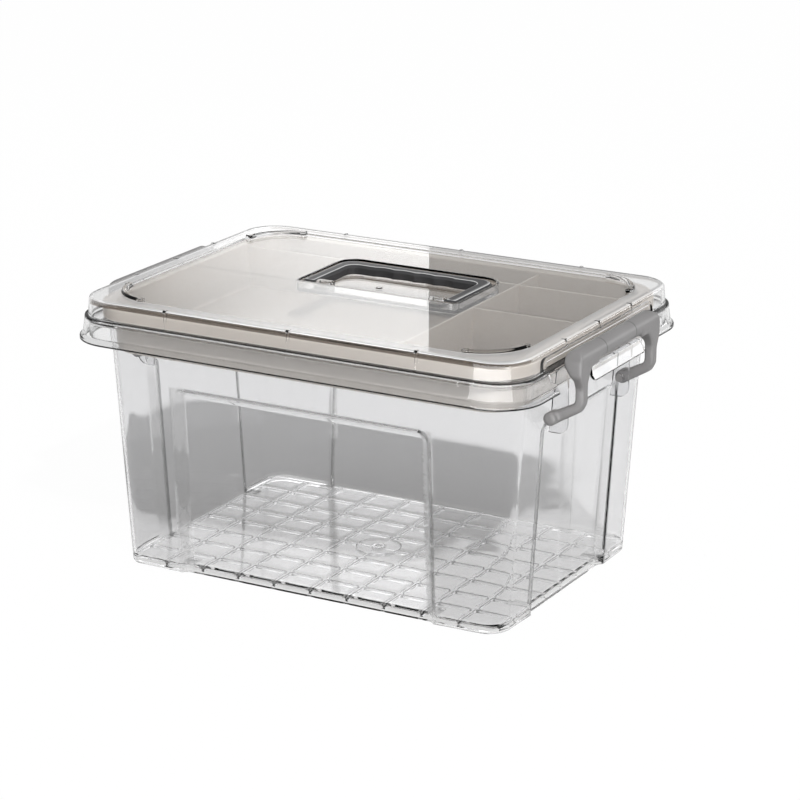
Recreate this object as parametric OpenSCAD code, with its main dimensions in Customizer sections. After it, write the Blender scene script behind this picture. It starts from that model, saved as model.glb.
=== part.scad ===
// Clear storage box for medicines, with a lift-out tray, a lift-off lid with a folding
// carry handle, and a swinging bail latch on each end.
// Origin: middle of the footprint, at the height the foot ring stands on. +X runs along the
// length, +Y to the back, +Z up. The box is shown closed, with the handle folded down.

/* [Tub] */
// Length of the tub at its foot
body_length = 338; // [300:1:400]
// Width of the tub at its foot
body_width = 232; // [200:1:280]
// Height of the tub from the foot to its rim
body_height = 212; // [170:1:260]
// Corner radius of the tub in plan, at its foot
corner_r = 18; // [12:0.5:26]
// How far each wall leans out between the foot and the rim
wall_flare = 14; // [6:0.5:18]
// Thickness of the tub's walls
wall_t = 2.4; // [1.6:0.1:3]
// Thickness of the tub's floor
floor_t = 2.4; // [1.6:0.1:3.4]
// Height of the foot ring under the floor
foot_h = 4.6; // [3:0.1:8]

/* [Floor ribs] */
// Spacing of the ribs along the length
rib_pitch_x = 33; // [24:0.5:44]
// Spacing of the ribs across the width
rib_pitch_y = 27.8; // [20:0.2:40]
// Thickness of a rib
rib_t = 1.6; // [1:0.1:2.4]
// How far the ribs stay above the surface the box stands on
rib_lift = 1; // [0.5:0.1:2]

/* [Recessed wall panels] */
// Width of the recess in the front and back walls
front_panel_w = 226; // [150:1:250]
// Width of the recess in the end walls
end_panel_w = 127; // [80:1:150]
// Distance from the rim down to the top of a recess
panel_drop = 57; // [50:1:90]
// Depth of a recess
panel_depth = 4.5; // [2:0.1:6]
// Width of the bevel round a recess
panel_bevel = 7; // [3:0.5:10]
// Corner radius at the top of a recess
panel_r = 9; // [6:0.5:16]

/* [Flange and lugs] */
// Distance from the rim down to the top of the flange
flange_drop = 8.2; // [6:0.1:12]
// How far the flange reaches out from the wall
flange_reach = 10.8; // [8:0.1:14]
// Thickness of the flange and of its lip
flange_t = 2.4; // [1.6:0.1:3]
// Height of the lip that hangs from the flange
flange_lip_h = 14.5; // [10:0.1:16]
// Corner radius of the flange in plan
flange_r = 28.8; // [26:0.1:34]
// Thickness of a latch lug
lug_t = 2.6; // [2:0.1:4]
// How far a lug reaches below the latch pin
lug_drop = 15; // [8:0.5:18]

/* [End grips] */
// Width of a grip along its top
grip_top_w = 83; // [60:1:86]
// Width of a grip along its bottom edge
grip_bottom_w = 95; // [87:1:96]
// Height of a grip
grip_h = 11; // [8:0.5:14]
// How far a grip's face leans out from top to bottom
grip_lean = 5; // [2:0.5:5.5]
// Thickness of a grip
grip_t = 2.4; // [1.8:0.1:3]

/* [Tray] */
// Depth of the tray from its rim
tray_depth = 38; // [24:1:42]
// Thickness of the tray's walls, floor and dividers
tray_t = 1.8; // [1.4:0.1:2.4]
// Thickness of the tray's rolled rim
tray_rim_t = 2.2; // [1.6:0.1:3]
// Height of the lip that hangs from the tray's rim
tray_lip_h = 6.5; // [4:0.1:7]
// How far the dividers end below the top of the rim
divider_dip = 2; // [1:0.1:8]
// Place across the width of the second small divider
row_two_y = 10; // [-30:1:40]

/* [Lid] */
// Thickness of the lid's walls
lid_t = 2.3; // [1.8:0.1:2.8]
// Height of the lid's skirt below its shoulder
skirt_h = 19.4; // [17:0.2:21]
// Height of the lid's upper band, from the shoulder to the rim
band_h = 15; // [14:0.2:22]
// Width of the shoulder between the skirt and the band
shoulder_w = 2.6; // [1.5:0.1:4]
// How far the band leans in from the shoulder to the rim
band_lean = 1.3; // [0.5:0.1:2.5]
// How far the skirt leans out from the shoulder down
skirt_lean = 1.7; // [0.5:0.1:3]
// How far the lip at the skirt's edge stands out
skirt_lip = 2.8; // [1:0.1:4]
// Radius of the lid's top edge
edge_r = 4; // [2:0.5:6]
// Width of the flat rim round the sunk plate
rim_w = 16; // [10:0.5:24]
// Corner radius of the sunk plate
plate_r = 40; // [20:1:60]
// How far the plate lies below the rim
plate_sink = 1; // [0.5:0.1:2]
// Height of the four stacking ridges
ridge_h = 2; // [1:0.1:4]
// Width of a stacking ridge
ridge_w = 3.4; // [2:0.1:6]
// Length of a stacking ridge along the length of the lid, past the start of its corner
ridge_run = 34; // [10:1:60]
// How far the opening in the skirt reaches past each end of a latch bar
latch_cut_side = 14; // [12:0.5:20]
// Radius at the top of that opening
latch_cut_r = 9; // [5:0.5:12]
// Depth of the pocket in the band behind a latch bar
pocket_depth = 1.8; // [1:0.1:2.4]
// Height of that pocket
pocket_h = 10.5; // [8:0.5:10.5]

/* [Handle] */
// Width of the handle over its arms
handle_w = 140; // [110:1:150]
// Distance from the hinge to the far edge of the handle
handle_reach = 67; // [50:1:70]
// Thickness of the handle
handle_t = 8; // [6:0.5:9]
// Width of a handle arm
handle_arm_w = 12; // [9:0.5:16]
// Width of the grip bar of the handle
handle_bar_w = 13; // [10:0.5:18]
// Outer corner radius of the handle
handle_r = 14; // [8:0.5:20]
// Place of the handle's hinge across the width of the lid
handle_y = 3; // [-6:0.5:12]
// Radius of the handle's hinge pins
handle_pin_r = 2.9; // [2:0.1:3.2]
// Length of the handle's hinge pins
handle_pin_l = 12; // [8:0.5:18]
// Distance between two finger scallops
scallop_pitch = 18.6; // [15:0.1:24]
// Flat left between two finger scallops
scallop_land = 2; // [1:0.2:4]
// Depth of a finger scallop
scallop_depth = 1.6; // [0.6:0.1:3]

/* [Latches] */
// Length of the latch bar
latch_bar_l = 140; // [124:1:150]
// Radius of the latch bar
latch_bar_r = 7.5; // [5.5:0.1:8]
// Distance between the outer faces of the latch legs
latch_leg_span = 131; // [126:1:140]
// Width of a latch leg
latch_leg_w = 10; // [8:0.5:11]
// Width of a latch arm where it meets the bar
latch_arm_w = 17; // [12:0.5:18]
// Thickness of a latch arm
latch_t = 8; // [6:0.5:9]
// Radius of the rounded end round the latch pin
latch_hub_r = 5; // [4.5:0.1:6]
// Radius of a latch pin
latch_pin_r = 3; // [2:0.1:3.5]
// Distance from the rim of the tub down to the latch pins
latch_pin_drop = 51; // [44:1:56]
// Height of the elbow of the latch above its pins
latch_elbow_h = 13; // [8:0.5:18]
// Height of the middle of the bar above the lid's shoulder
latch_bar_lift = 2.5; // [1:0.5:6]

/* [Clearances] */
// Gap where one moulding rests on another
rest_gap = 0.3; // [0.2:0.05:0.6]
// Gap round a hinge pin, on the radius
pin_gap = 0.06; // [0.03:0.01:0.1]
// Gap beside a moving arm
side_gap = 0.5; // [0.4:0.1:1]
// Gap between the lid's skirt and the flange lip
skirt_gap = 1.1; // [0.8:0.1:2]
// Gap between the tray and the inside of the tub
tray_gap = 2.5; // [1.5:0.1:5]
// Gap between a latch bar and the lid beside it
latch_gap = 0.4; // [0.3:0.1:1]
// Gap between the swinging latch bar and the grip below it
grip_gap = 0.6; // [0.5:0.1:1.5]
// Gap between the handle and its pan in the lid
pan_gap = 1.5; // [1:0.1:3]
// Gap between the tray's dividers and the pan
divider_gap = 3.4; // [1:0.1:6]

/* [Hidden] */
$fn = 96;
past = 1;

// Tub: straight middles of its sides, and the outer corner radius at a height
core_x = body_length / 2 - corner_r;
core_y = body_width / 2 - corner_r;
wall_slope = wall_flare / body_height;
lean_angle = atan(wall_slope);
floor_top = foot_h + floor_t;
panel_h = body_height - panel_drop;
function wall_r(z) = corner_r + wall_slope * z;

// Flange: its top, and its half length and half width
flange_z = body_height - flange_drop;
lip_z = flange_z - flange_lip_h;
flange_x = core_x + wall_r(flange_z) + flange_reach;
flange_y = core_y + wall_r(flange_z) + flange_reach;

// Lid: its heights, and corner radii about the same centres as the flange
lid_core_x = flange_x - flange_r;
lid_core_y = flange_y - flange_r;
shoulder_z = flange_z + rest_gap + lid_t;
skirt_z = shoulder_z - skirt_h;
rim_z = shoulder_z + band_h;
plate_z = rim_z - plate_sink;
skirt_r = flange_r + skirt_gap + lid_t;
band_r = skirt_r - shoulder_w;
lip_r = skirt_r + skirt_lean + skirt_lip;
rim_r = band_r - band_lean;
shoulder_edge = 1;
lip_edge = 1.4;
plate_x = lid_core_x + rim_r - rim_w;
plate_y = lid_core_y + rim_r - rim_w;

// Handle: hinge height and the pan that it folds into
pan_x = handle_w / 2 + pan_gap;
pan_front = handle_y - handle_t / 2 - 3 * pan_gap;
pan_back = handle_y + handle_reach + 3 * pan_gap;
pan_floor = plate_z - handle_t - side_gap;
handle_z = pan_floor + side_gap + handle_t / 2;
handle_inner_x = handle_w / 2 - handle_arm_w;
pan_r = handle_r + pan_gap;
pan_front_r = handle_t / 2;
ear_w = handle_pin_l + side_gap;
ear_y = 2 * handle_pin_r;

// Tray: it hangs from the rim of the tub
tray_flange_z = body_height + rest_gap;
tray_top = tray_flange_z + tray_rim_t;
tray_floor = tray_top - tray_depth;
tray_lip_r = wall_r(body_height) + tray_gap + tray_rim_t;
divider_top = tray_top - divider_dip;
divider_x = pan_x + lid_t + divider_gap + tray_t / 2;
row_one_y = pan_back + lid_t + 3 * divider_gap + tray_t / 2;
function tray_r(z) = wall_r(z) - wall_t - tray_gap;

// Latch: pins beside the wall, bar beside the lid's shoulder
latch_pin_z = body_height - latch_pin_drop;
latch_pin_x = core_x + wall_r(latch_pin_z) + side_gap + latch_hub_r;
shoulder_x = lid_core_x + skirt_r - latch_gap;
latch_bar_x = shoulder_x + latch_gap + latch_bar_r;
latch_bar_z = shoulder_z + latch_bar_lift;
latch_out_x = latch_bar_x + latch_bar_r;
latch_elbow_x = latch_out_x - latch_t / 2;
latch_elbow_z = latch_pin_z + latch_elbow_h;
lug_y = latch_leg_span / 2 - latch_leg_w - side_gap;
lug_x = flange_x;
latch_cut_half = latch_bar_l / 2 + latch_cut_side;
pocket_x = lid_core_x + rim_r - pocket_depth;

// Grip: its top edge stays inside the path of the swinging bar
grip_top_z = latch_bar_z - latch_bar_r - 4 * grip_gap;
bar_swing = sqrt(pow(latch_bar_x - latch_pin_x, 2) + pow(latch_bar_z - latch_pin_z, 2)) - latch_bar_r;
grip_swing = bar_swing - grip_gap;
grip_x = latch_pin_x + sqrt(pow(grip_swing, 2) - pow(grip_top_z - latch_pin_z, 2));

// Rounded rectangle with half sizes a and b
module rounded_rect(a, b, r) {
    square([2 * a, 2 * (b - r)], center = true);
    square([2 * (a - r), 2 * b], center = true);
    for (x = [-1, 1], y = [-1, 1]) {
        translate([x * (a - r), y * (b - r)]) circle(r);
    }
}

// A wall section, given as radius and height, carried round a rounded rectangle
module wall_sweep(cx, cy, section) {
    for (x = [0, 1], y = [0, 1]) {
        mirror([x, 0, 0]) mirror([0, y, 0])
            translate([cx, cy, 0]) rotate_extrude(angle = 90) polygon(section);
    }
    for (s = [0, 180]) {
        rotate([0, 0, s]) {
            translate([cx, cy, 0]) rotate([90, 0, 0]) linear_extrude(2 * cy) polygon(section);
            translate([-cx, cy, 0]) rotate([90, 0, 90]) linear_extrude(2 * cx) polygon(section);
        }
    }
}

// The same, filled in the middle
module solid_sweep(cx, cy, section, z_low, z_high) {
    wall_sweep(cx, cy, section);
    translate([-cx, -cy, z_low]) cube([2 * cx, 2 * cy, z_high - z_low]);
}

// Section of a leaning wall's solid from one height to another, less an inset
function lean_section(low, high, inset) = [
    [0, low], [wall_r(low) - inset, low], [wall_r(high) - inset, high], [0, high]
];

// Children placed on a leaning wall: y = 0 is its outer face, +y runs into the tub
module on_wall(side) {
    half = side % 2 == 0 ? body_width / 2 : body_length / 2;
    rotate([0, 0, 90 * side]) translate([0, -half, 0]) rotate([lean_angle, 0, 0]) children();
}

// The volume of a wall recess, grown by a wall thickness for the inside of the wall
module panel_volume(width, grow) {
    w = width / 2 + grow;
    h = panel_h + grow;
    d = panel_depth + grow;
    r = panel_r + grow;
    low = -2 * foot_h;
    intersection() {
        translate([0, 0, low]) linear_extrude(h - low + past)
            polygon([[-w, -past], [w, -past], [w, 0], [w - panel_bevel, d], [panel_bevel - w, d], [-w, 0]]);
        translate([-w - past, 0, 0]) rotate([90, 0, 90]) linear_extrude(2 * (w + past))
            polygon([[-2 * past, low], [d, low], [d, h - panel_bevel], [0, h], [-2 * past, h]]);
        translate([0, d + past, 0]) rotate([90, 0, 0]) linear_extrude(d + 3 * past) {
            translate([-w, low]) square([2 * w, h - r - low]);
            translate([r - w, low]) square([2 * (w - r), h - low]);
            for (s = [-1, 1]) translate([s * (w - r), h - r]) circle(r);
        }
    }
}

// All four recesses
module panels(grow) {
    for (side = [0 : 3]) {
        on_wall(side) panel_volume(side % 2 == 0 ? front_panel_w : end_panel_w, grow);
    }
}

// Space inside the tub, less the backs of the recesses
module tub_inside() {
    difference() {
        solid_sweep(core_x, core_y, lean_section(floor_top, body_height + past, wall_t),
            floor_top, body_height + past);
        panels(wall_t);
    }
}

// Space inside the foot ring, less the backs of the recesses
module foot_inside() {
    difference() {
        solid_sweep(core_x, core_y, lean_section(-past, foot_h, wall_t), -past, foot_h);
        panels(wall_t);
    }
}

// Rib grid under the floor
module floor_ribs() {
    count_x = floor((body_length / 2 - corner_r / 2) / rib_pitch_x);
    count_y = floor((body_width / 2 - corner_r / 2) / rib_pitch_y);
    intersection() {
        foot_inside();
        union() {
            for (i = [-count_x : count_x]) {
                translate([i * rib_pitch_x - rib_t / 2, -body_width / 2, rib_lift])
                    cube([rib_t, body_width, foot_h - rib_lift + past]);
            }
            for (j = [-count_y : count_y]) {
                translate([-body_length / 2, j * rib_pitch_y - rib_t / 2, rib_lift])
                    cube([body_length, rib_t, foot_h - rib_lift + past]);
            }
        }
    }
}

// Flange and the lip that hangs from it
module flange() {
    translate([0, 0, flange_z - flange_t]) linear_extrude(flange_t)
        rounded_rect(flange_x, flange_y, flange_r);
    translate([0, 0, lip_z]) linear_extrude(flange_lip_h) difference() {
        rounded_rect(flange_x, flange_y, flange_r);
        rounded_rect(flange_x - flange_t, flange_y - flange_t, flange_r - flange_t);
    }
}

// C-shaped grip on the right end, with leaning ends
module end_grip() {
    root = flange_x - flange_t;
    low = grip_top_z - grip_h;
    out = grip_x + grip_lean;
    intersection() {
        translate([0, grip_bottom_w / 2, 0]) rotate([90, 0, 0]) linear_extrude(grip_bottom_w)
            polygon([
                [root, grip_top_z], [grip_x, grip_top_z], [out, low], [out - grip_t, low],
                [grip_x - grip_t, grip_top_z - grip_t], [root, grip_top_z - grip_t]
            ]);
        translate([root - past, 0, 0]) rotate([90, 0, 90]) linear_extrude(out - root + 2 * past)
            polygon([
                [-grip_top_w / 2, grip_top_z + past], [grip_top_w / 2, grip_top_z + past],
                [grip_bottom_w / 2, low], [grip_bottom_w / 2, low - past],
                [-grip_bottom_w / 2, low - past], [-grip_bottom_w / 2, low]
            ]);
    }
}

// Two plates on the right end that carry the latch pins
module latch_lugs() {
    low = latch_pin_z - lug_drop;
    r = lug_x - latch_pin_x;
    for (s = [-1, 1]) {
        translate([0, s * (lug_y - lug_t / 2) + lug_t / 2, 0]) rotate([90, 0, 0])
            linear_extrude(lug_t) {
                translate([core_x, low + r]) square([lug_x - core_x, flange_z - low - r]);
                translate([core_x, low]) square([lug_x - r - core_x, r + past]);
                translate([lug_x - r, low + r]) circle(r);
            }
    }
}

module pin_bores() {
    for (x = [-1, 1]) {
        translate([x * latch_pin_x, 0, latch_pin_z]) rotate([90, 0, 0])
            cylinder(r = latch_pin_r + pin_gap, h = 2 * lug_y + 2 * past, center = true);
    }
}

module tub() color([0.88, 0.9, 0.92, 0.4]) {
    difference() {
        union() {
            difference() {
                solid_sweep(core_x, core_y, lean_section(0, body_height, 0), 0, body_height);
                panels(0);
            }
            flange();
            for (m = [0, 1]) mirror([m, 0, 0]) {
                end_grip();
                latch_lugs();
            }
        }
        tub_inside();
        foot_inside();
        pin_bores();
    }
    floor_ribs();
}

// Tray outline as a wall section: wall, rolled rim and lip
tray_section = [
    [tray_r(tray_floor), tray_floor], [tray_r(tray_flange_z), tray_flange_z],
    [tray_lip_r - tray_rim_t, tray_flange_z], [tray_lip_r - tray_rim_t, tray_top - tray_lip_h],
    [tray_lip_r, tray_top - tray_lip_h], [tray_lip_r, tray_top - tray_rim_t / 2],
    [tray_lip_r - tray_rim_t / 2, tray_top], [tray_r(tray_top) - tray_t, tray_top],
    [tray_r(tray_floor) - tray_t, tray_floor]
];

// Upright plates that part the tray, trimmed to the inside of its walls
module tray_dividers() {
    back = core_y + tray_r(tray_top);
    right = core_x + tray_r(tray_top);
    h = divider_top - tray_floor;
    intersection() {
        union() {
            translate([divider_x - tray_t / 2, -back, tray_floor]) cube([tray_t, 2 * back, h]);
            translate([-right, row_one_y - tray_t / 2, tray_floor]) cube([2 * right, tray_t, h]);
            translate([divider_x, row_two_y - tray_t / 2, tray_floor])
                cube([right - divider_x, tray_t, h]);
        }
        solid_sweep(core_x, core_y, lean_section(tray_floor, divider_top, wall_t + tray_gap + tray_t / 2),
            tray_floor, divider_top);
    }
}

module inner_tray() color([0.72, 0.69, 0.65]) {
    wall_sweep(core_x, core_y, tray_section);
    solid_sweep(core_x, core_y,
        lean_section(tray_floor, tray_floor + tray_t, wall_t + tray_gap),
        tray_floor, tray_floor + tray_t);
    tray_dividers();
}

// Outer line of the lid's wall from the skirt's edge up to the flat rim
function lid_line() = concat(
    [
        [lip_r - lip_edge, skirt_z], [lip_r, skirt_z + lip_edge], [lip_r, skirt_z + 2 * lip_edge],
        [skirt_r + skirt_lean, skirt_z + 2 * lip_edge + skirt_lip],
        [skirt_r, shoulder_z - shoulder_edge], [skirt_r - shoulder_edge, shoulder_z],
        [band_r, shoulder_z]
    ],
    [
        for (a = [0 : 15 : 90])
            [rim_r - edge_r + edge_r * cos(a), rim_z - edge_r + edge_r * sin(a)]
    ]
);

// Inner line, a wall thickness inside the outer one, from the rim back down
function lid_inner_line() = [
    [rim_r - edge_r, rim_z - lid_t], [rim_r - lid_t, rim_z - edge_r],
    [band_r - lid_t, shoulder_z - lid_t], [skirt_r - lid_t, shoulder_z - lid_t],
    [skirt_r + skirt_lean - lid_t, skirt_z + 2 * lip_edge + skirt_lip - lid_t / 2],
    [lip_r - lid_t, skirt_z + 2 * lip_edge - lid_t / 2], [lip_r - lid_t, skirt_z]
];

// Opening in the skirt for a latch, wider at its top, and the shoulder trimmed beside the bar
module latch_cut() {
    w = latch_cut_half;
    top = shoulder_z - lid_t;
    low = skirt_z - past;
    translate([lid_core_x, 0, 0]) rotate([90, 0, 90]) linear_extrude(lip_r + past) {
        translate([-w, low]) square([2 * w, top - low]);
        intersection() {
            for (s = [-1, 1]) translate([s * w, top]) circle(latch_cut_r);
            translate([-2 * w, low]) square([4 * w, top - low]);
        }
    }
    translate([shoulder_x, -w, low]) cube([lip_r, 2 * w, shoulder_z - low + past]);
}

// Pocket in the band behind a latch bar, grown by a wall thickness for its inner face
module latch_pocket(grow, x, depth) {
    w = latch_cut_half + latch_cut_r + grow;
    low = shoulder_z - grow;
    high = shoulder_z + pocket_h + grow;
    r = latch_cut_r + grow;
    translate([x, 0, 0]) rotate([90, 0, 90]) linear_extrude(depth) {
        translate([-w, low]) square([2 * w, high - r - low]);
        translate([r - w, low]) square([2 * (w - r), high - low]);
        intersection() {
            for (s = [-1, 1]) translate([s * (w - r), high - r]) circle(r);
            translate([-w, low]) square([2 * w, high - low]);
        }
    }
}

// Ridges on the four corners of the plate, which keep stacked boxes in place
module stacking_ridges() {
    a = plate_x + ridge_w / 2;
    b = plate_y + ridge_w / 2;
    r = plate_r + ridge_w / 2;
    intersection() {
        translate([0, 0, plate_z]) linear_extrude(plate_sink + ridge_h) difference() {
            rounded_rect(a, b, r);
            rounded_rect(a - ridge_w, b - ridge_w, r - ridge_w);
        }
        for (x = [-1, 1], y = [-1, 1]) {
            translate([x * plate_x, y * plate_y, plate_z])
                cube([2 * ridge_run, 2 * ridge_run, 4 * (plate_sink + ridge_h)], center = true);
        }
    }
}

// Ears in the pan that carry the handle's pins
module handle_ears() {
    for (s = [-1, 1]) {
        translate([s * (handle_inner_x - side_gap - ear_w / 2), handle_y, 0])
            translate([-ear_w / 2, 0, 0]) difference() {
                union() {
                    translate([0, -ear_y, pan_floor - past])
                        cube([ear_w, 2 * ear_y, handle_z - pan_floor + past]);
                    translate([0, 0, handle_z]) rotate([0, 90, 0]) cylinder(r = ear_y, h = ear_w);
                }
                translate([-past, 0, handle_z]) rotate([0, 90, 0])
                    cylinder(r = handle_pin_r + pin_gap, h = ear_w + 2 * past);
                translate([-past, -2 * ear_y, plate_z]) cube([ear_w + 2 * past, 4 * ear_y, ear_y]);
            }
    }
}

// The pan's block, with tighter corners beside the hinge
module pan_block(grow, low, high) {
    mid = (pan_front + pan_back) / 2;
    half = (pan_back - pan_front) / 2;
    translate([0, mid, low]) linear_extrude(high - low) {
        rounded_rect(pan_x + grow, half + grow, pan_r + grow);
        translate([0, -half / 2]) rounded_rect(pan_x + grow, half / 2 + grow, pan_front_r + grow);
    }
}

module lid() color([0.9, 0.9, 0.9, 0.4]) {
    difference() {
        union() {
            wall_sweep(lid_core_x, lid_core_y, concat(lid_line(), lid_inner_line()));
            translate([0, 0, rim_z - lid_t]) linear_extrude(lid_t)
                rounded_rect(lid_core_x + rim_r - edge_r, lid_core_y + rim_r - edge_r, rim_r - edge_r);
            translate([0, 0, plate_z - lid_t]) linear_extrude(lid_t)
                rounded_rect(plate_x + lid_t, plate_y + lid_t, plate_r + lid_t);
            pan_block(lid_t, pan_floor - lid_t, plate_z);
            for (m = [0, 1]) mirror([m, 0, 0]) latch_pocket(lid_t, pocket_x - lid_t, lid_t + past);
        }
        translate([0, 0, plate_z]) linear_extrude(plate_sink + past)
            rounded_rect(plate_x, plate_y, plate_r);
        pan_block(0, pan_floor, rim_z + past);
        for (m = [0, 1]) mirror([m, 0, 0]) {
            latch_cut();
            latch_pocket(0, pocket_x, lip_r);
        }
    }
    stacking_ridges();
    handle_ears();
}

// Carry handle folded flat: two arms, a bar with finger scallops and two pins
module carry_handle() color([0.3, 0.3, 0.31]) {
    far = handle_y + handle_reach;
    bar_y = far - handle_bar_w;
    fingers = floor((2 * handle_inner_x - 2 * handle_r) / scallop_pitch);
    scallop_half = (scallop_pitch - scallop_land) / 2;
    scallop_r = (pow(scallop_half, 2) + pow(scallop_depth, 2)) / (2 * scallop_depth);
    difference() {
        union() {
            translate([0, 0, handle_z - handle_t / 2]) linear_extrude(handle_t) difference() {
                union() {
                    translate([-handle_w / 2, handle_y]) square([handle_w, handle_reach - handle_r]);
                    translate([handle_r - handle_w / 2, handle_y])
                        square([handle_w - 2 * handle_r, handle_reach]);
                    for (s = [-1, 1]) {
                        translate([s * (handle_w / 2 - handle_r), far - handle_r]) circle(handle_r);
                    }
                }
                translate([-handle_inner_x, handle_y - past])
                    square([2 * handle_inner_x, bar_y - handle_y + past - handle_r / 2]);
                translate([handle_r / 2 - handle_inner_x, handle_y - past])
                    square([2 * handle_inner_x - handle_r, bar_y - handle_y + past]);
                for (s = [-1, 1]) {
                    translate([s * (handle_inner_x - handle_r / 2), bar_y - handle_r / 2])
                        circle(handle_r / 2);
                }
            }
            for (s = [-1, 1]) {
                translate([s * (handle_inner_x + handle_arm_w / 2), handle_y, handle_z])
                    rotate([0, 90, 0]) cylinder(r = handle_t / 2, h = handle_arm_w, center = true);
                translate([s * (handle_inner_x - handle_pin_l / 2), handle_y, handle_z])
                    rotate([0, 90, 0]) cylinder(r = handle_pin_r, h = handle_pin_l + past, center = true);
            }
        }
        for (i = [0 : fingers - 1]) {
            translate([(i - (fingers - 1) / 2) * scallop_pitch, bar_y + scallop_depth - scallop_r,
                    handle_z - handle_t])
                cylinder(r = scallop_r, h = 2 * handle_t);
        }
    }
}

// Bail latch on the right end: pins, legs, arms and bar
module latch() {
    leg_dx = latch_elbow_x - latch_pin_x;
    leg_l = sqrt(pow(leg_dx, 2) + pow(latch_elbow_h, 2));
    leg_angle = atan2(latch_elbow_h, leg_dx);
    half = latch_leg_span / 2;
    arm_low = latch_bar_z - 2 * latch_bar_r;
    arm_x = latch_out_x - latch_t;
    for (s = [0, 1]) mirror([0, s, 0]) {
        translate([0, half, 0]) rotate([90, 0, 0]) linear_extrude(latch_leg_w) {
            translate([latch_pin_x, latch_pin_z]) {
                circle(latch_hub_r);
                rotate(leg_angle) translate([0, -latch_t / 2]) square([leg_l, latch_t]);
            }
            translate([latch_elbow_x, latch_elbow_z]) circle(latch_t / 2);
            translate([arm_x, latch_elbow_z]) square([latch_t, latch_bar_z - latch_elbow_z]);
        }
        translate([0, half, 0]) rotate([90, 0, 0]) linear_extrude(latch_arm_w)
            translate([arm_x, arm_low]) square([latch_t, latch_bar_z - arm_low]);
        translate([latch_pin_x, half, latch_pin_z]) rotate([90, 0, 0])
            cylinder(r = latch_pin_r, h = half - lug_y + lug_t + side_gap);
    }
    translate([latch_bar_x, 0, latch_bar_z]) rotate([90, 0, 0])
        cylinder(r = latch_bar_r, h = latch_bar_l, center = true);
}

module right_latch() color([0.55, 0.55, 0.55]) latch();

module left_latch() color([0.55, 0.55, 0.55]) mirror([1, 0, 0]) latch();

tub();
inner_tray();
lid();
carry_handle();
right_latch();
left_latch();
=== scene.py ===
import math
from contextlib import contextmanager

import bmesh
import bpy
from bpy.props import FloatProperty, FloatVectorProperty, IntProperty, PointerProperty
from bpy.types import Operator, Panel, PropertyGroup
from mathutils import Matrix, Vector


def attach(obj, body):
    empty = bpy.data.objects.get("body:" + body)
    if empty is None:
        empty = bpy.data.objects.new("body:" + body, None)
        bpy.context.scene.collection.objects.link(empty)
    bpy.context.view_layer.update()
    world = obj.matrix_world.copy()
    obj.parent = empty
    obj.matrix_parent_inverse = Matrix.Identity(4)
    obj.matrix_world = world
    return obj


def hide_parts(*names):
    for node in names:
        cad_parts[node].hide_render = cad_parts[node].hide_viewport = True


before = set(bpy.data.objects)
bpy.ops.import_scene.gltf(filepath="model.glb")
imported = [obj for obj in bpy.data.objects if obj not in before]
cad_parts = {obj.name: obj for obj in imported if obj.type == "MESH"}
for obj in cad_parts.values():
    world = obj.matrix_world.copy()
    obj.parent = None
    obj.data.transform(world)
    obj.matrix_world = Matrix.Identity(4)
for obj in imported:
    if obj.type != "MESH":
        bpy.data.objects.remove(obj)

bl_info = {
    "name": "Medicine box",
    "version": (1, 0, 0),
    "blender": (4, 5, 0),
    "location": "3D View > Sidebar > Medicine box",
    "description": "Models a clear medicine box with its tray, lid, handle and latches",
    "category": "Add Mesh",
}

MM = 0.001
CORNER_STEPS = 16

# Sizes in millimetres, the same as those of the model in the frame
TUB_CORE = (151.0, 98.0)
FOOT_R = 18.0
RIM_Z = 212.0
WALL_SLOPE = 14.0 / RIM_Z
WALL_T = 2.4
FOOT_H = 4.6
FLOOR_TOP = 7.0
PANEL_TOP = 155.0 * math.cos(math.atan(WALL_SLOPE))
FRONT_PANEL_X = 113.0
END_PANEL_Y = 63.5
PANEL_DEPTH = 4.5
PANEL_R = 9.0
FLANGE_Z = 203.8
FLANGE_R = 28.8
FLANGE_T = 2.4
FLANGE_X = TUB_CORE[0] + FOOT_R + WALL_SLOPE * FLANGE_Z + 10.8
FLANGE_Y = TUB_CORE[1] + FOOT_R + WALL_SLOPE * FLANGE_Z + 10.8
FLANGE_LIP_Z = FLANGE_Z - 14.5
LID_CORE = (FLANGE_X - FLANGE_R, FLANGE_Y - FLANGE_R)
LID_T = 2.3
SHOULDER_Z = 206.4
SKIRT_Z = 187.0
LID_RIM_Z = 221.4
PLATE_Z = 220.4
LIP_R = 36.7
PLATE_R = 40.0
PLATE_X = LID_CORE[0] + 12.3
PLATE_Y = LID_CORE[1] + 12.3
PAN_X = 71.5
PAN_FRONT = -5.5
PAN_BACK = 74.5
PAN_FLOOR = 211.9
HINGE_Y = 3.0
HINGE_Z = 216.4
TRAY_TOP = 214.5
TRAY_FLOOR = 176.5
TRAY_T = 1.8
PLATE_CORE = (PLATE_X - PLATE_R, PLATE_Y - PLATE_R)
POCKET_X = LID_CORE[0] + 26.5
PIN_X = 185.132
PIN_Z = 161.0
BAR_X = 204.158
BAR_Z = 208.9
BAR_R = 7.5
LATCH_PIN_R = 3.0
HANDLE_PIN_R = 2.9
PIN_PLAY = 0.06
GRIP_TOP = (41.5, 199.0)
GRIP_FOOT = (47.5, 188.0)
GRIP_T = 2.4
HANDLE_HALF = 70.0
HANDLE_FAR = 70.0
HANDLE_R = 14.0
SCALLOP_PITCH = 18.6
FLOOR_PITCH = (33.0, 27.8)
FLOOR_CELLS = (10, 8)
DIVIDER_X = 78.1
BACK_DIVIDER_Y = 87.9
MIDDLE_DIVIDER_Y = 10.0

# Sizes in millimetres that only this script has: the slope of a panel's edge, which is 7 in the
# frame, a pin with the part inside its arm, the place of the pan's gate mark, and how far the tub's
# skin starts below the ground, where it is cut off
PANEL_BEVEL = 4.8
PIN_LENGTH = 13.0
PAN_GATE = (-17.9, 31.9)
SKIN_SPARE = 3.0

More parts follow.
